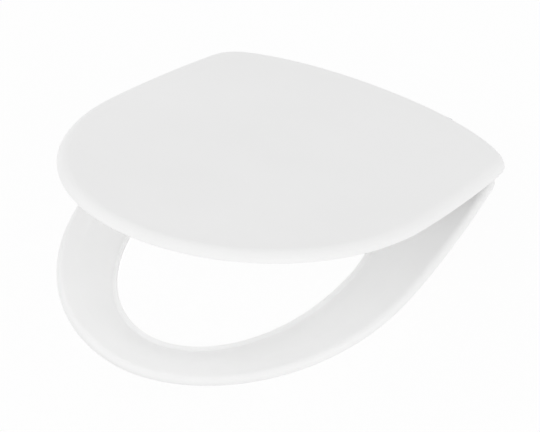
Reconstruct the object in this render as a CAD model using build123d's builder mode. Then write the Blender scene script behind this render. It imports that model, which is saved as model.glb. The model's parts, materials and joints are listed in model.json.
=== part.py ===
# Toilet seat: a slim ring under a lid whose rim hangs over the ring, on two metal hinge posts
# Frame: X along the hinge, -Y to the front, +Z up
# Origin: midway between the fixing studs, on the pan's top face
# All sizes are in millimetres and degrees
import os
from math import cos, radians, sin

from build123d import *

os.makedirs("parts", exist_ok=True)

# Hinge line and heights above the pan
stud_spacing = 140.0
hinge_behind_studs = 9.0
ring_lift = 12.0
hinge_above_ring_edge = 3.4
lid_open_angle = 18.7

# Seat ring outline, measured from the hinge line; reach runs forward and rear_y runs to the rear
ring_reach = 475.2
ring_half_width = 175.8
ring_widest_y = -244.3
ring_shoulder_pull = 151.0
ring_tip_pull = 77.9
ring_side_pull = 68.7
ring_splay = 9.1
ring_corner_pull = 42.5
ring_rear_narrowing = 16.6
ring_corner_y = -46.0
ring_rear_y = -17.0
ring_rear_turn = 18.0
ring_rear_corner_pull = 53.0
ring_rear_middle_pull = 53.0
ring_corner_radius = 24.0

# Seat ring section
ring_edge_height = 8.6
ring_edge_round = 6.8
ring_foot_round = 1.5
lip_width = 5.2
crease_height = 0.5
lip_height = 3.4
crease_round = 2.0
lip_round = 0.9
slope_middle_height = 6.3
slope_side_width = 38.0
slope_front_width = 27.0
slope_rear_width = 38.0
lip_drop = 2.0
lip_drop_width = 20.0

# Opening of the ring, and the bands of the ring beside and ahead of it
ring_front_band = 51.8
ring_side_band = 67.4
opening_widest_ahead = 3.3
opening_rear_y = -128.7
opening_shoulder_pull = 110.8
opening_tip_pull = 54.0
opening_side_pull = 78.0
opening_rear_pull = 62.0

# Channel under the ring
channel_depth = 3.0
channel_wall = 11.0
channel_side_margin = 30.0
channel_front_margin = 26.0
channel_rear_margin = 30.0
boss_radius = 11.0

# Lid outline, measured from the hinge line and from the ring, which it overhangs
lid_front_overhang = 12.9
lid_side_overhang = 5.5
lid_widest_ahead = 2.4
lid_shoulder_pull = 133.3
lid_tip_pull = 101.4
lid_side_pull = 49.3
lid_splay = 9.0
lid_corner_pull = 61.6
lid_rear_overhang = 8.5
lid_corner_y = -43.6
lid_rear_y = 11.2
lid_rear_turn = 45.8
lid_rear_corner_pull = 40.4
lid_rear_middle_pull = 83.4
lid_corner_radius = 52.0

# Lid section
lid_edge_above_ring_edge = 2.6
lid_edge_height = 9.4
lid_edge_round = 13.0
lid_foot_round = 0.6
lid_wall = 3.2
lid_skin = 2.8
relief_share = 0.55
relief_depth = 17.0
relief_reach = 24.0

# Hinge
pin_radius = 3.0
running_clearance = 0.05
bush_wall = 0.95
bush_flange_radius = 5.0
bush_flange = 0.7
side_clearance = 0.3
lug_radius = 5.4
lug_width = 15.0
ring_lug_reach = 30.0
ring_lug_top = 4.5
lid_lug_rear = 1.0
lid_lug_root = 0.7
pin_inset = 2.0
knuckle_radius = 5.2
post_width = 14.0
post_front = 17.0
post_rear = 3.2
post_shoulder_height = 6.9
post_shoulder_front = 16.0
post_top_angle = 145.0
post_round = 1.2
base_radius = 15.0
base_thickness = 2.5
screw_radius = 2.0
screw_length = 3.4
screw_socket = 1.0
screw_socket_depth = 1.8

# Fixings through the pan
gasket_thickness = 1.5
gasket_hole_radius = 5.5
stud_shank_radius = 4.0
stud_thread_radius = 3.6
stud_top = 10.5
stud_shank_top = 0.5
stud_shank_bottom = -16.0
stud_bottom = -52.0
stud_chamfer = 0.8
cone_top = -18.0
cone_top_radius = 5.2
cone_bottom = -25.0
cone_bottom_radius = 9.0
cone_flange_radius = 14.0
cone_flange = 3.0
washer_radius = 12.0
washer_hole_radius = 4.2
washer_thickness = 1.5
nut_hub_radius = 8.0
nut_height = 10.0
wing_span = 42.0
wing_thickness = 4.0
wing_height = 14.0
wing_round = 3.0

# Bumpers
ring_bumper_radius = 9.0
ring_bumper_round = 2.5
ring_bumper_stem_radius = 3.0
ring_bumper_stem = 4.0
front_bumper_margin = 34.0
front_bumper_share = 0.5
rear_bumper_margin = 49.8
rear_bumper_y = -112.0
lid_bumper_margin = 95.3
lid_bumper_setback = 102.1
lid_bumper_radius = 6.0
lid_bumper_height = 3.1
lid_bumper_round = 1.0
lid_bumper_stem_radius = 3.0
lid_bumper_stem = 1.8

# Band of heights within which an edge is picked
pick_band = 0.01

# Planes that everything is placed from
hinge_z = ring_lift + hinge_above_ring_edge
stud_x = stud_spacing / 2
tilt = radians(lid_open_angle)
ring_plane = Plane(origin=(0, hinge_behind_studs, hinge_z))
lid_plane = Plane(origin=(0, hinge_behind_studs, hinge_z), x_dir=(1, 0, 0), z_dir=(0, sin(tilt), cos(tilt)))
ring_low = -hinge_above_ring_edge
ring_top = ring_low + ring_edge_height
lid_low = ring_low + lid_edge_above_ring_edge
lid_top = lid_low + lid_edge_height
lid_under = lid_top - lid_skin
bush_radius = pin_radius + running_clearance + bush_wall
post_inner_x = stud_x - post_width / 2
post_outer_x = stud_x + post_width / 2
ring_lug_outer = post_inner_x - side_clearance - bush_flange
ring_lug_inner = ring_lug_outer - lug_width
lid_lug_outer = ring_lug_inner - side_clearance - bush_flange
lid_lug_inner = lid_lug_outer - lug_width
base_top = gasket_thickness + base_thickness

# Sizes that follow from the ring's outline
ring_rear_half = ring_half_width - ring_rear_narrowing
opening_reach = ring_reach - ring_front_band
opening_half_width = ring_half_width - ring_side_band
opening_widest_y = ring_widest_y - opening_widest_ahead
lid_reach = ring_reach + lid_front_overhang
lid_half_width = ring_half_width + lid_side_overhang
lid_widest_y = ring_widest_y - lid_widest_ahead
lid_rear_half = ring_rear_half + lid_rear_overhang
rear_bumper_x = ring_half_width - rear_bumper_margin
lid_bumper_x = lid_half_width - lid_bumper_margin
lid_bumper_y = lid_bumper_setback - lid_reach


def cross_plane(plane, x):
    """Plane across the hinge line at x: its own X runs to the rear and its own Y upward."""
    start = plane.origin + plane.x_dir * x
    return Plane(origin=start, x_dir=plane.y_dir, z_dir=plane.x_dir)


def seat_outline(reach, half_width, widest_y, shoulder_pull, tip_pull, side_pull, splay, corner_pull,
                 rear_half, corner_y, rear_y, rear_turn, rear_corner_pull, rear_middle_pull, inset):
    """Outline with a bowed rear edge, two rear corners and an egg-shaped front, drawn in by the inset."""
    lean = radians(splay)
    turn = radians(rear_turn)
    across = sin(turn) * sin(lean) - cos(turn) * cos(lean)
    corner_x = rear_half - inset * (sin(lean) - cos(turn)) / across
    corner_in_y = corner_y - inset * (sin(turn) - cos(lean)) / across
    side_x = half_width - inset
    tip_y = inset - reach
    shoulder = shoulder_pull * (widest_y - tip_y) / (widest_y + reach)
    rear_pull = rear_corner_pull * corner_x / rear_half
    with BuildSketch() as shape:
        with BuildLine():
            rear = Bezier(
                (0, rear_y - inset),
                (rear_middle_pull * corner_x / rear_half, rear_y - inset),
                (corner_x - rear_pull * cos(turn), corner_in_y + rear_pull * sin(turn)),
                (corner_x, corner_in_y),
            )
            side = Bezier(
                (corner_x, corner_in_y),
                (corner_x + corner_pull * sin(lean), corner_in_y - corner_pull * cos(lean)),
                (side_x, widest_y + side_pull),
                (side_x, widest_y),
            )
            front = Bezier(
                (side_x, widest_y),
                (side_x, widest_y - shoulder),
                (tip_pull * side_x / half_width, tip_y),
                (0, tip_y),
            )
            mirror(rear, about=Plane.YZ)
            mirror(side, about=Plane.YZ)
            mirror(front, about=Plane.YZ)
        make_face()
    return shape.sketch


def egg_ahead(side, front):
    """Right-hand front quarter of an egg that is larger than the opening by the given widths."""
    half_width = opening_half_width + side
    front_y = -opening_reach - front
    wider = half_width / opening_half_width
    longer = (opening_widest_y - front_y) / (opening_widest_y + opening_reach)
    return Bezier(
        (half_width, opening_widest_y),
        (half_width, opening_widest_y - opening_shoulder_pull * longer),
        (opening_tip_pull * wider, front_y),
        (0, front_y),
    )


def egg(plane, side, front, rear):
    """Egg that runs round the opening, larger than it by the given widths."""
    half_width = opening_half_width + side
    rear_y = opening_rear_y + rear
    wider = half_width / opening_half_width
    deeper = (rear_y - opening_widest_y) / (opening_rear_y - opening_widest_y)
    with BuildSketch(plane) as shape:
        with BuildLine():
            ahead = egg_ahead(side, front)
            behind = Bezier(
                (half_width, opening_widest_y),
                (half_width, opening_widest_y + opening_side_pull * deeper),
                (opening_rear_pull * wider, rear_y),
                (0, rear_y),
            )
            mirror(ahead, about=Plane.YZ)
            mirror(behind, about=Plane.YZ)
        make_face()
    return shape.sketch


def ring_outline(inset):
    return seat_outline(ring_reach, ring_half_width, ring_widest_y, ring_shoulder_pull, ring_tip_pull,
                        ring_side_pull, ring_splay, ring_corner_pull, ring_rear_half, ring_corner_y,
                        ring_rear_y, ring_rear_turn, ring_rear_corner_pull, ring_rear_middle_pull, inset)


def lid_outline(inset):
    return seat_outline(lid_reach, lid_half_width, lid_widest_y, lid_shoulder_pull, lid_tip_pull,
                        lid_side_pull, lid_splay, lid_corner_pull, lid_rear_half, lid_corner_y,
                        lid_rear_y, lid_rear_turn, lid_rear_corner_pull, lid_rear_middle_pull, inset)


def save(part, name):
    part.label = name
    export_step(part, f"parts/{name}.step")


# Sloping middle of the ring's top, and the lip that stands up round the opening
with BuildPart() as dish:
    add(egg(ring_plane.offset(ring_low + crease_height), lip_width, lip_width, lip_width))
    add(egg(ring_plane.offset(ring_low + slope_middle_height), lip_width + slope_side_width / 2,
            lip_width + slope_front_width / 2, lip_width + slope_rear_width / 2))
    add(egg(ring_plane.offset(ring_top), lip_width + slope_side_width, lip_width + slope_front_width,
            lip_width + slope_rear_width))
    loft()
with BuildPart() as lip:
    add(egg(ring_plane.offset(ring_low + crease_height), lip_width, lip_width, lip_width))
    add(egg(ring_plane.offset(ring_low + lip_height), 0, 0, 0))
    loft(ruled=True)

# Channel under the ring, with round bosses left in it for the bumpers
front_bumper = egg_ahead(front_bumper_margin, front_bumper_margin) @ front_bumper_share
ring_bumper_places = [
    (front_bumper.X, front_bumper.Y),
    (-front_bumper.X, front_bumper.Y),
    (rear_bumper_x, rear_bumper_y),
    (-rear_bumper_x, rear_bumper_y),
]
with BuildPart() as channel:
    with BuildSketch(ring_plane.offset(ring_low)):
        add(ring_outline(channel_wall))
        inner_edge = egg(Plane.XY, channel_side_margin, channel_front_margin, channel_rear_margin)
        add(inner_edge, mode=Mode.SUBTRACT)
        with Locations(*ring_bumper_places):
            Circle(boss_radius, mode=Mode.SUBTRACT)
    extrude(amount=channel_depth)
    fillet(channel.edges().filter_by(Axis.Z).group_by(Axis.Y)[-1], ring_corner_radius - channel_wall)

# Seat ring
with BuildPart() as seat_ring:
    with BuildSketch(ring_plane.offset(ring_low)):
        add(ring_outline(0))
    extrude(amount=ring_edge_height)
    fillet(seat_ring.edges().filter_by(Axis.Z).group_by(Axis.Y)[-1], ring_corner_radius)
    fillet(seat_ring.edges().group_by(Axis.Z)[-1], ring_edge_round)
    fillet(seat_ring.edges().group_by(Axis.Z)[0], ring_foot_round)
    add(dish.part, mode=Mode.SUBTRACT)
    add(lip.part)
    with BuildSketch(ring_plane.offset(ring_low)):
        add(egg(Plane.XY, lip_drop_width, lip_drop_width, lip_drop_width))
    extrude(amount=-lip_drop)
    with BuildSketch(ring_plane.offset(ring_low - lip_drop)):
        add(egg(Plane.XY, 0, 0, 0))
    extrude(amount=ring_edge_height + lip_drop, mode=Mode.SUBTRACT)
    crease_z = hinge_z + ring_low + crease_height
    crease_edges = seat_ring.edges().filter_by_position(Axis.Z, crease_z - pick_band, crease_z + pick_band)
    fillet(crease_edges, crease_round)
    lip_z = hinge_z + ring_low + lip_height
    lip_edges = seat_ring.edges().filter_by_position(Axis.Z, lip_z - pick_band, lip_z + pick_band)
    fillet(lip_edges, lip_round)
    fillet(seat_ring.edges().group_by(Axis.Z)[0], lip_round)
    add(channel.part, mode=Mode.SUBTRACT)
    for x in (ring_lug_inner, -ring_lug_outer):
        with BuildSketch(cross_plane(ring_plane, x)):
            Circle(lug_radius)
            with Locations((0, ring_low)):
                Rectangle(ring_lug_reach, ring_lug_top - ring_low, align=(Align.MAX, Align.MIN))
        extrude(amount=lug_width)
        with BuildSketch(cross_plane(ring_plane, x)):
            Circle(bush_radius)
        extrude(amount=lug_width, mode=Mode.SUBTRACT)
    with BuildSketch(ring_plane.offset(ring_low)):
        with Locations(*ring_bumper_places):
            Circle(ring_bumper_stem_radius)
    extrude(amount=ring_bumper_stem, mode=Mode.SUBTRACT)
save(seat_ring.part, "seat_ring")

# Hollow underside of the lid; both start below the rim, so that the rim ends part way round its curve
lid_up = Axis(lid_plane.origin, lid_plane.z_dir)
lid_start = lid_top - lid_edge_round - lid_skin
with BuildPart() as cavity:
    with BuildSketch(lid_plane.offset(lid_start)):
        add(lid_outline(lid_wall))
    extrude(amount=lid_under - lid_start)
    fillet(cavity.edges().filter_by(lid_up).group_by(Axis.Y)[-1], lid_corner_radius - lid_wall)
    fillet(cavity.edges().group_by(lid_up)[-1], lid_edge_round - lid_wall)

# Relief in the lid's rear rim, clear of the posts, with its ends square to the bowed edge
rear_edge = lid_outline(0).edges().sort_by(Axis.Y)[-1]
relief_place = (1 + relief_share) / 2
relief_point = rear_edge @ relief_place
relief_along = rear_edge % relief_place
relief_rear_x = abs(relief_point.X) + abs(relief_along.Y) * relief_reach
relief_rear_y = relief_point.Y + abs(relief_along.X) * relief_reach
relief_front_x = abs(relief_point.X) - abs(relief_along.Y) * relief_depth
relief_front_y = relief_point.Y - abs(relief_along.X) * relief_depth

# Lid, standing open
lid_bumper_places = [(lid_bumper_x, lid_bumper_y), (-lid_bumper_x, lid_bumper_y)]
with BuildPart() as lid:
    with BuildSketch(lid_plane.offset(lid_start)):
        add(lid_outline(0))
    extrude(amount=lid_top - lid_start)
    fillet(lid.edges().filter_by(lid_up).group_by(Axis.Y)[-1], lid_corner_radius)
    fillet(lid.edges().group_by(lid_up)[-1], lid_edge_round)
    split(bisect_by=lid_plane.offset(lid_low), keep=Keep.TOP)
    fillet(lid.edges().group_by(lid_up)[0], lid_foot_round)
    add(cavity.part, mode=Mode.SUBTRACT)
    with BuildSketch(lid_plane.offset(lid_under)):
        with BuildLine():
            Polyline(
                (-relief_rear_x, relief_rear_y),
                (-relief_front_x, relief_front_y),
                (relief_front_x, relief_front_y),
                (relief_rear_x, relief_rear_y),
                close=True,
            )
        make_face()
    extrude(amount=-lid_edge_height, mode=Mode.SUBTRACT)
    for x in (lid_lug_inner, -lid_lug_outer):
        with BuildSketch(cross_plane(lid_plane, x)):
            Circle(lug_radius)
            with Locations((lid_lug_rear, 0)):
                Rectangle(lug_radius + lid_lug_rear, lid_under + lid_lug_root, align=(Align.MAX, Align.MIN))
        extrude(amount=lug_width)
        with BuildSketch(cross_plane(lid_plane, x)):
            Circle(bush_radius)
        extrude(amount=lug_width, mode=Mode.SUBTRACT)
    with BuildSketch(lid_plane.offset(lid_under)):
        with Locations(*lid_bumper_places):
            Circle(lid_bumper_stem_radius)
    extrude(amount=lid_bumper_stem, mode=Mode.SUBTRACT)
save(lid.part, "lid")


def save_pair(part, name):
    """Right-hand piece as built, and its mirror image on the left."""
    save(part, f"{name}_right")
    with BuildPart() as other:
        mirror(part, about=Plane.YZ)
    save(other.part, f"{name}_left")


# Hinge post: a knuckle round the pin on a foot that leans forward to the stud
foot_z = base_top - hinge_z
lean_top = radians(post_top_angle)
screw_mouth = pin_radius + screw_length
pin_inner_x = lid_lug_inner + pin_inset
pin_outer_x = post_outer_x - pin_inset
with BuildPart() as hinge_post:
    with BuildSketch(cross_plane(ring_plane, post_inner_x)):
        Circle(knuckle_radius)
        with BuildLine():
            Polyline(
                (-post_rear, 0),
                (-post_rear, foot_z),
                (-post_front, foot_z),
                (-post_shoulder_front, foot_z + post_shoulder_height),
                (knuckle_radius * cos(lean_top), knuckle_radius * sin(lean_top)),
                close=True,
            )
        make_face()
    extrude(amount=post_width)
    fillet(hinge_post.faces().sort_by(Axis.X)[-1].edges(), post_round)
    with BuildSketch(Plane.XY.offset(gasket_thickness)):
        with Locations((stud_x, 0)):
            Circle(base_radius)
    extrude(amount=base_thickness)
    with BuildSketch(cross_plane(ring_plane, post_inner_x)):
        Circle(pin_radius)
    extrude(amount=pin_outer_x - post_inner_x, mode=Mode.SUBTRACT)
    with BuildSketch(Plane.XY.offset(gasket_thickness)):
        with Locations((stud_x, 0)):
            Circle(stud_thread_radius)
    extrude(amount=stud_top - gasket_thickness, mode=Mode.SUBTRACT)
    with BuildSketch(Plane.XZ.offset(-hinge_behind_studs)):
        with Locations((stud_x, hinge_z)):
            Circle(screw_radius)
    extrude(amount=post_front, mode=Mode.SUBTRACT)
save_pair(hinge_post.part, "hinge_post")

# Hinge pin, fixed in the post and turning in the bushes
with BuildPart() as hinge_pin:
    with BuildSketch(cross_plane(ring_plane, pin_inner_x)):
        Circle(pin_radius)
    extrude(amount=pin_outer_x - pin_inner_x)
save_pair(hinge_pin.part, "hinge_pin")

# Set screw that holds the pin, driven in from the front of the post
with BuildPart() as pin_screw:
    with BuildSketch(Plane.XZ.offset(pin_radius - hinge_behind_studs)):
        with Locations((stud_x, hinge_z)):
            Circle(screw_radius)
    extrude(amount=screw_length)
    with BuildSketch(Plane.XZ.offset(screw_mouth - hinge_behind_studs)):
        with Locations((stud_x, hinge_z)):
            RegularPolygon(screw_socket, 6, major_radius=False)
    extrude(amount=-screw_socket_depth, mode=Mode.SUBTRACT)
save_pair(pin_screw.part, "pin_screw")


def flanged_bush(plane, inner_x):
    """Bush in a lug, with its flange on the side toward the post."""
    with BuildPart() as bush:
        with BuildSketch(cross_plane(plane, inner_x)):
            Circle(bush_radius)
        extrude(amount=lug_width)
        with BuildSketch(cross_plane(plane, inner_x + lug_width)):
            Circle(bush_flange_radius)
        extrude(amount=bush_flange)
        with BuildSketch(cross_plane(plane, inner_x)):
            Circle(pin_radius + running_clearance)
        extrude(amount=lug_width + bush_flange, mode=Mode.SUBTRACT)
    return bush.part


save_pair(flanged_bush(ring_plane, ring_lug_inner), "ring_bush")
save_pair(flanged_bush(lid_plane, lid_lug_inner), "lid_bush")

# Gasket between the post and the pan
with BuildPart() as post_gasket:
    with BuildSketch():
        with Locations((stud_x, 0)):
            Circle(base_radius)
            Circle(gasket_hole_radius, mode=Mode.SUBTRACT)
    extrude(amount=gasket_thickness)
save_pair(post_gasket.part, "post_gasket")

# Fixing stud: threaded at both ends, plain where it passes through the pan
stud_plane = Plane(origin=(stud_x, 0, 0), x_dir=(1, 0, 0), z_dir=(0, -1, 0))
with BuildPart() as fixing_stud:
    with BuildSketch(stud_plane):
        with BuildLine():
            Polyline(
                (0, stud_top),
                (stud_thread_radius, stud_top),
                (stud_thread_radius, stud_shank_top),
                (stud_shank_radius, stud_shank_top),
                (stud_shank_radius, stud_shank_bottom),
                (stud_thread_radius, stud_shank_bottom),
                (stud_thread_radius, stud_bottom + stud_chamfer),
                (stud_thread_radius - stud_chamfer, stud_bottom),
                (0, stud_bottom),
                close=True,
            )
        make_face()
    revolve(axis=Axis((stud_x, 0, 0), (0, 0, 1)))
save_pair(fixing_stud.part, "fixing_stud")

# Rubber cone that centres the stud in the pan's hole
cone_low = cone_bottom - cone_flange
with BuildPart() as cone_bush:
    with BuildSketch(stud_plane):
        with BuildLine():
            Polyline(
                (stud_thread_radius, cone_top),
                (cone_top_radius, cone_top),
                (cone_bottom_radius, cone_bottom),
                (cone_flange_radius, cone_bottom),
                (cone_flange_radius, cone_low),
                (stud_thread_radius, cone_low),
                close=True,
            )
        make_face()
    revolve(axis=Axis((stud_x, 0, 0), (0, 0, 1)))
save_pair(cone_bush.part, "cone_bush")

# Washer under the nut
washer_low = cone_low - washer_thickness
with BuildPart() as washer:
    with BuildSketch(Plane.XY.offset(washer_low)):
        with Locations((stud_x, 0)):
            Circle(washer_radius)
            Circle(washer_hole_radius, mode=Mode.SUBTRACT)
    extrude(amount=washer_thickness)
save_pair(washer.part, "washer")

# Wing nut
with BuildPart() as wing_nut:
    with BuildSketch(Plane.XY.offset(washer_low)):
        with Locations((stud_x, 0)):
            Circle(nut_hub_radius)
    extrude(amount=-nut_height)
    with BuildSketch(stud_plane.offset(-wing_thickness / 2)):
        with Locations((0, washer_low - nut_height)):
            RectangleRounded(wing_span, wing_height, wing_round)
    extrude(amount=wing_thickness)
    with BuildSketch(Plane.XY.offset(washer_low)):
        with Locations((stud_x, 0)):
            Circle(stud_thread_radius)
    extrude(amount=-nut_height - wing_height, mode=Mode.SUBTRACT)
save_pair(wing_nut.part, "wing_nut")


def ring_bumper(x, y):
    """Rubber foot under the ring, with a stem pushed into the ring's boss."""
    with BuildPart() as bumper:
        with BuildSketch(ring_plane.offset(-hinge_z)):
            with Locations((x, y)):
                Circle(ring_bumper_radius)
        extrude(amount=ring_lift)
        fillet(bumper.edges().group_by(Axis.Z)[0], ring_bumper_round)
        with BuildSketch(ring_plane.offset(ring_low)):
            with Locations((x, y)):
                Circle(ring_bumper_stem_radius)
        extrude(amount=ring_bumper_stem)
    return bumper.part


save_pair(ring_bumper(front_bumper.X, front_bumper.Y), "ring_bumper_front")
save_pair(ring_bumper(rear_bumper_x, rear_bumper_y), "ring_bumper_rear")

# Rubber pad under the lid, with a stem pushed into the lid's skin
with BuildPart() as lid_bumper:
    with BuildSketch(lid_plane.offset(lid_under)):
        with Locations((lid_bumper_x, lid_bumper_y)):
            Circle(lid_bumper_radius)
    extrude(amount=-lid_bumper_height)
    fillet(lid_bumper.edges().group_by(lid_up)[0], lid_bumper_round)
    with BuildSketch(lid_plane.offset(lid_under)):
        with Locations((lid_bumper_x, lid_bumper_y)):
            Circle(lid_bumper_stem_radius)
    extrude(amount=lid_bumper_stem)
save_pair(lid_bumper.part, "lid_bumper")
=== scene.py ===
"""Looks of the toilet seat: satin white mouldings, plated posts, threaded studs, rubber and a pale studio."""

import json
import math

import bpy
from mathutils import Matrix, Vector


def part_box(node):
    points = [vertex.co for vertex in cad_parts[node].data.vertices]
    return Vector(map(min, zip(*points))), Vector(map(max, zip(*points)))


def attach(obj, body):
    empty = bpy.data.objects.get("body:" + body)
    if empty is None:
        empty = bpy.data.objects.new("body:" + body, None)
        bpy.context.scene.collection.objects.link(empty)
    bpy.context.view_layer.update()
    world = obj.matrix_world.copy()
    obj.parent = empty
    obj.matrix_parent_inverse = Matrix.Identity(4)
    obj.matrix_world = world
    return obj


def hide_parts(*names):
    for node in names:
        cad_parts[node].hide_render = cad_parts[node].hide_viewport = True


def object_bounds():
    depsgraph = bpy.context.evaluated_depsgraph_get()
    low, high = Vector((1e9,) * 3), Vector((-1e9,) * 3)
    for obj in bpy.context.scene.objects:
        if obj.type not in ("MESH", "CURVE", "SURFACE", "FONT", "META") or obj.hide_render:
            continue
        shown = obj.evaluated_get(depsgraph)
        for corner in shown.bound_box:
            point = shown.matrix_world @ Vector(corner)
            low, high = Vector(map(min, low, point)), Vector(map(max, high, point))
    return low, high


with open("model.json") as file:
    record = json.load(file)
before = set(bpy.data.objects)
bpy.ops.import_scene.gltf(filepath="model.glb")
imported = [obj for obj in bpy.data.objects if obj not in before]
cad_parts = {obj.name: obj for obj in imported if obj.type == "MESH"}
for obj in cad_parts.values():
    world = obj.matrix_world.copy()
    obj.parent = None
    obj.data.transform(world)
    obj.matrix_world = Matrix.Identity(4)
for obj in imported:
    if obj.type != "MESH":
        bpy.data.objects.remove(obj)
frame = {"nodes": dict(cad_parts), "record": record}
cad_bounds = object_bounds()

# Camera of the photograph: angles in degrees, places in metres, focal length in pixels of the image
IMAGE_WIDTH = 540
FOCAL_PIXELS = 4879.3
SENSOR_WIDTH_MM = 36.0
CAMERA_AZIMUTH = 31.918
CAMERA_ELEVATION = 40.857
CAMERA_DISTANCE = 4.7756
CAMERA_TARGET = Vector((0.0, -0.219, 0.012))
CAMERA_RIGHT = 0.00495
CAMERA_UP = 0.01028

# Studio: even light all round, three broad lamps and a small fill under the opening, in metres and watts
WHITE = (1.0, 1.0, 1.0, 1.0)
WORLD_STRENGTH = 0.75
SEEN_STRENGTH = 1.0
FLOOR_SIZE = 60.0
FLOOR_GAP = 0.001
FLOOR_COLOUR = (0.85, 0.85, 0.85, 1.0)
FLOOR_ROUGHNESS = 0.9
FLOOR_WHITE_SHARE = 0.95
LAMP_SIZE = 3.0
KEY_PLACE = Vector((-1.6, -2.8, 1.4))
KEY_POWER = 17.0
SIDE_PLACE = Vector((3.0, -0.8, 1.2))
SIDE_POWER = 30.0
LEFT_PLACE = Vector((-2.4, -0.6, 2.2))
LEFT_POWER = 11.0
FILL_Y = -0.26
FILL_LIFT = 0.0005
FILL_SIZE = 0.24
FILL_POWER = 0.155
UPWARD = Vector((0.0, 0.0, 1.0))

# Noise: the range that holds most of its values, its layers of detail, and its stretch along X, Y and Z
NOISE_LOW = 0.3
NOISE_HIGH = 0.7
SOFT_DETAIL = 2.0
UNEVEN_DETAIL = 3.0
EVEN_STRETCH = (1.0, 1.0, 1.0)
DRAWN_STRETCH = (1.0, 6.0, 0.3)

# Fixing studs: heights in the frame, radii and the thread's shape, in metres
SHANK_TOP = 0.0005
SHANK_BOTTOM = -0.0160
SHOULDER_STEP = 0.00001
CORE_RADIUS = 0.0036
SHANK_RADIUS = 0.0040
STUD_CHAMFER = 0.0008
THREAD_CREST = 0.0040
THREAD_ROOT = 0.0033
THREAD_PITCH = 0.00125
THREAD_FLAT = 0.125
RUN_OUT = 0.0015
STEPS_ROUND = 48
STEPS_PER_TURN = 10


def new_material(name):
    """Node material with a Principled shader, its tree and the shader."""
    material = bpy.data.materials.new(name)
    material.use_nodes = True
    tree = material.node_tree
    return material, tree, tree.nodes["Principled BSDF"]


def noise(tree, scale, detail=SOFT_DETAIL, stretch=EVEN_STRETCH):
    """Noise over the piece's own place in the frame; scale counts features per metre."""
    place = tree.nodes.new("ShaderNodeTexCoord")
    shape = tree.nodes.new("ShaderNodeMapping")
    texture = tree.nodes.new("ShaderNodeTexNoise")
    shape.inputs["Scale"].default_value = stretch
    texture.inputs["Scale"].default_value = scale
    texture.inputs["Detail"].default_value = detail
    tree.links.new(place.outputs["Object"], shape.inputs["Vector"])
    tree.links.new(shape.outputs["Vector"], texture.inputs["Vector"])
    return texture.outputs["Fac"]


def spread(tree, source, low, high):
    """Maps a noise value to a range of roughness."""
    ramp = tree.nodes.new("ShaderNodeMapRange")
    ramp.inputs["From Min"].default_value = NOISE_LOW
    ramp.inputs["From Max"].default_value = NOISE_HIGH
    ramp.inputs["To Min"].default_value = low
    ramp.inputs["To Max"].default_value = high
    tree.links.new(source, ramp.inputs["Value"])
    return ramp.outputs["Result"]


def tint(tree, source, dark, light):
    """Runs between two close colours by a noise value."""
    ramp = tree.nodes.new("ShaderNodeValToRGB")
    first, last = ramp.color_ramp.elements
    first.position = NOISE_LOW
    first.color = (*dark, 1.0)
    last.position = NOISE_HIGH
    last.color = (*light, 1.0)
    tree.links.new(source, ramp.inputs["Fac"])
    return ramp.outputs["Color"]


def relief(tree, source, strength, height):
    """Bump of a given height in metres."""
    bump = tree.nodes.new("ShaderNodeBump")
    bump.inputs["Strength"].default_value = strength
    bump.inputs["Distance"].default_value = height
    tree.links.new(source, bump.inputs["Height"])
    return bump.outputs["Normal"]


def finish_material(name, dark, light, mottle, rough, rough_scale, grain, grain_strength, grain_height,
                    metal=0.0, specular=0.5, stretch=EVEN_STRETCH):
    """Procedural finish: mottled colour, uneven roughness and a fine surface grain."""
    material, tree, shader = new_material(name)
    colour = tint(tree, noise(tree, mottle), dark, light)
    roughness = spread(tree, noise(tree, rough_scale, UNEVEN_DETAIL, stretch), *rough)
    surface = relief(tree, noise(tree, grain, SOFT_DETAIL, stretch), grain_strength, grain_height)
    tree.links.new(colour, shader.inputs["Base Color"])
    tree.links.new(roughness, shader.inputs["Roughness"])
    tree.links.new(surface, shader.inputs["Normal"])
    shader.inputs["Metallic"].default_value = metal
    shader.inputs["Specular IOR Level"].default_value = specular
    return material


# One finish for each material slot of the record
FINISHES = {
    "white_moulding": finish_material(
        "white moulding", dark=(0.892, 0.892, 0.890), light=(0.908, 0.908, 0.907), mottle=9.0,
        rough=(0.32, 0.40), rough_scale=35.0, grain=420.0, grain_strength=0.12, grain_height=0.00004),
    "post_metal": finish_material(
        "plated metal", dark=(0.66, 0.67, 0.68), light=(0.74, 0.75, 0.76), mottle=60.0,
        rough=(0.10, 0.18), rough_scale=180.0, grain=900.0, grain_strength=0.08, grain_height=0.00002,
        metal=1.0),
    "steel": finish_material(
        "drawn steel", dark=(0.52, 0.53, 0.54), light=(0.66, 0.67, 0.68), mottle=120.0,
        rough=(0.22, 0.42), rough_scale=600.0, grain=1500.0, grain_strength=0.2, grain_height=0.00003,
        metal=1.0, stretch=DRAWN_STRETCH),
    "bush_plastic": finish_material(
        "bush plastic", dark=(0.70, 0.70, 0.68), light=(0.78, 0.78, 0.76), mottle=90.0,
        rough=(0.40, 0.55), rough_scale=300.0, grain=1800.0, grain_strength=0.25, grain_height=0.00004),
    "soft_rubber": finish_material(
        "pale rubber", dark=(0.58, 0.58, 0.57), light=(0.68, 0.68, 0.67), mottle=110.0,
        rough=(0.62, 0.82), rough_scale=260.0, grain=2600.0, grain_strength=0.45, grain_height=0.00006,
        specular=0.3),
    "nut_plastic": finish_material(
        "nut plastic", dark=(0.72, 0.72, 0.71), light=(0.80, 0.80, 0.79), mottle=90.0,
        rough=(0.38, 0.52), rough_scale=300.0, grain=1600.0, grain_strength=0.3, grain_height=0.00004),
}


def dress_nodes():
    """Gives each piece of the frame the finish of its slot."""
    for row in frame["record"]["subparts"]:
        node = frame["nodes"][row["node"]]
        node.data.materials.clear()
        node.data.materials.append(FINISHES[row["material_slot"]])


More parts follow.
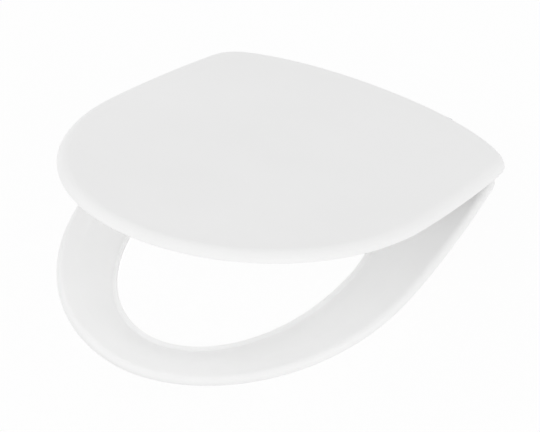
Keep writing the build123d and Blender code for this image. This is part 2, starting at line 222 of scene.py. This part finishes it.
def thread_radius(height, turn, bottom):
    """Radius of the stud at a height and a share of a turn, with a V thread below the plain shank."""
    if height > SHANK_TOP:
        return CORE_RADIUS
    if height >= SHANK_BOTTOM:
        return SHANK_RADIUS
    along = (height / THREAD_PITCH - turn) % 1.0
    rise = min(abs(2.0 * along - 1.0) / (1.0 - 2.0 * THREAD_FLAT), 1.0)
    depth = min((SHANK_BOTTOM - height) / RUN_OUT, 1.0) * (THREAD_CREST - THREAD_ROOT)
    end = CORE_RADIUS - STUD_CHAMFER + height - bottom
    return min(THREAD_CREST - depth * rise, end)


def stud_heights(top, bottom):
    """Heights of the rings of points down the stud, close together where it is threaded."""
    heights = [top, SHANK_TOP + SHOULDER_STEP, SHANK_TOP, SHANK_BOTTOM]
    rows = round((SHANK_BOTTOM - bottom) / THREAD_PITCH * STEPS_PER_TURN)
    for row in range(1, rows + 1):
        heights.append(SHANK_BOTTOM + (bottom - SHANK_BOTTOM) * row / rows)
    return heights


def build_stud(name, node_name):
    """Fixing stud with a real thread, in place of the plain one."""
    low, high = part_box(node_name)
    middle = (low + high) / 2
    points = []
    faces = []
    heights = stud_heights(high.z, low.z)
    for height in heights:
        for step in range(STEPS_ROUND):
            turn = step / STEPS_ROUND
            angle = 2.0 * math.pi * turn
            radius = thread_radius(height, turn, low.z)
            points.append((middle.x + radius * math.cos(angle), middle.y + radius * math.sin(angle), height))
    for row in range(len(heights) - 1):
        upper = row * STEPS_ROUND
        lower = upper + STEPS_ROUND
        for step in range(STEPS_ROUND):
            after = (step + 1) % STEPS_ROUND
            faces.append((upper + step, lower + step, lower + after, upper + after))
    last = (len(heights) - 1) * STEPS_ROUND
    faces.append(tuple(range(STEPS_ROUND)))
    faces.append(tuple(reversed(range(last, last + STEPS_ROUND))))
    mesh = bpy.data.meshes.new(name)
    mesh.from_pydata(points, [], faces)
    mesh.materials.append(FINISHES["steel"])
    stud = bpy.data.objects.new(name, mesh)
    bpy.context.scene.collection.objects.link(stud)
    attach(stud, "base")
    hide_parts(node_name)


def larger(tree, first, second):
    """The larger of two values."""
    node = tree.nodes.new("ShaderNodeMath")
    node.operation = "MAXIMUM"
    tree.links.new(first, node.inputs[0])
    tree.links.new(second, node.inputs[1])
    return node.outputs["Value"]


def seen_share(tree, share):
    """Share for rays that come from the camera, a mirror or glass, and none for the light on the object."""
    path = tree.nodes.new("ShaderNodeLightPath")
    mirrored = larger(tree, path.outputs["Is Camera Ray"], path.outputs["Is Glossy Ray"])
    seen = larger(tree, mirrored, path.outputs["Is Transmission Ray"])
    scale = tree.nodes.new("ShaderNodeMath")
    scale.operation = "MULTIPLY"
    scale.inputs[1].default_value = share
    tree.links.new(seen, scale.inputs[0])
    return scale.outputs["Value"]


def build_floor(height):
    """Pale floor that the camera sees almost white, with the seat's soft shadow left in it."""
    bpy.ops.mesh.primitive_plane_add(size=FLOOR_SIZE, location=(0.0, 0.0, height))
    floor = bpy.context.object
    floor.name = "floor"
    material, tree, shader = new_material("floor")
    shader.inputs["Base Color"].default_value = FLOOR_COLOUR
    shader.inputs["Roughness"].default_value = FLOOR_ROUGHNESS
    shader.inputs["Specular IOR Level"].default_value = 0.0
    white = tree.nodes.new("ShaderNodeEmission")
    white.inputs["Color"].default_value = WHITE
    white.inputs["Strength"].default_value = SEEN_STRENGTH
    mix = tree.nodes.new("ShaderNodeMixShader")
    tree.links.new(seen_share(tree, FLOOR_WHITE_SHARE), mix.inputs["Fac"])
    tree.links.new(shader.outputs["BSDF"], mix.inputs[1])
    tree.links.new(white.outputs["Emission"], mix.inputs[2])
    tree.links.new(mix.outputs["Shader"], tree.nodes["Material Output"].inputs["Surface"])
    floor.data.materials.append(material)


def build_world():
    """White to the camera and to mirrors, and a softer even light on the object."""
    world = bpy.data.worlds.new("studio")
    world.use_nodes = True
    tree = world.node_tree
    background = tree.nodes["Background"]
    background.inputs["Color"].default_value = WHITE
    background.inputs["Strength"].default_value = WORLD_STRENGTH
    white = tree.nodes.new("ShaderNodeBackground")
    white.inputs["Color"].default_value = WHITE
    white.inputs["Strength"].default_value = SEEN_STRENGTH
    mix = tree.nodes.new("ShaderNodeMixShader")
    tree.links.new(seen_share(tree, 1.0), mix.inputs["Fac"])
    tree.links.new(background.outputs["Background"], mix.inputs[1])
    tree.links.new(white.outputs["Background"], mix.inputs[2])
    tree.links.new(mix.outputs["Shader"], tree.nodes["World Output"].inputs["Surface"])
    bpy.context.scene.world = world


def area_light(name, place, size, power, toward, mirrored=True):
    """Square soft light that faces a point; one that isn't mirrored leaves no glare on glossy faces."""
    light = bpy.data.lights.new(name, "AREA")
    light.size = size
    light.energy = power
    lamp = bpy.data.objects.new(name, light)
    lamp.location = place
    lamp.rotation_mode = "QUATERNION"
    lamp.rotation_quaternion = (toward - place).to_track_quat("-Z", "Y")
    lamp.visible_camera = False
    lamp.visible_glossy = mirrored
    bpy.context.scene.collection.objects.link(lamp)


def build_lamps(floor_height):
    """Broad lamps at the front, the right and the left, and a small one on the floor under the opening."""
    area_light("key", KEY_PLACE, LAMP_SIZE, KEY_POWER, CAMERA_TARGET)
    area_light("side", SIDE_PLACE, LAMP_SIZE, SIDE_POWER, CAMERA_TARGET, mirrored=False)
    area_light("left", LEFT_PLACE, LAMP_SIZE, LEFT_POWER, CAMERA_TARGET)
    fill_place = Vector((0.0, FILL_Y, floor_height + FILL_LIFT))
    area_light("fill", fill_place, FILL_SIZE, FILL_POWER, fill_place + UPWARD)


def build_camera():
    """Long lens from the front right, as in the photograph."""
    azimuth = math.radians(CAMERA_AZIMUTH)
    elevation = math.radians(CAMERA_ELEVATION)
    level = math.cos(elevation)
    back = Vector((math.sin(azimuth) * level, -math.cos(azimuth) * level, math.sin(elevation)))
    right = Vector((math.cos(azimuth), math.sin(azimuth), 0.0))
    up = back.cross(right)
    camera_data = bpy.data.cameras.new("camera")
    camera_data.sensor_width = SENSOR_WIDTH_MM
    camera_data.lens = FOCAL_PIXELS / IMAGE_WIDTH * SENSOR_WIDTH_MM
    camera = bpy.data.objects.new("camera", camera_data)
    place = CAMERA_TARGET + back * CAMERA_DISTANCE + right * CAMERA_RIGHT + up * CAMERA_UP
    turn = Matrix((right, up, back)).transposed()
    camera.matrix_world = Matrix.Translation(place) @ turn.to_4x4()
    bpy.context.scene.collection.objects.link(camera)
    bpy.context.scene.camera = camera


# The pieces, then the studio round them
dress_nodes()
build_stud("threaded_stud_left", "fixing_stud_left")
build_stud("threaded_stud_right", "fixing_stud_right")
floor_height = cad_bounds[0].z - FLOOR_GAP
build_world()
build_floor(floor_height)
build_lamps(floor_height)
build_camera()
bpy.context.scene.view_settings.view_transform = "Standard"
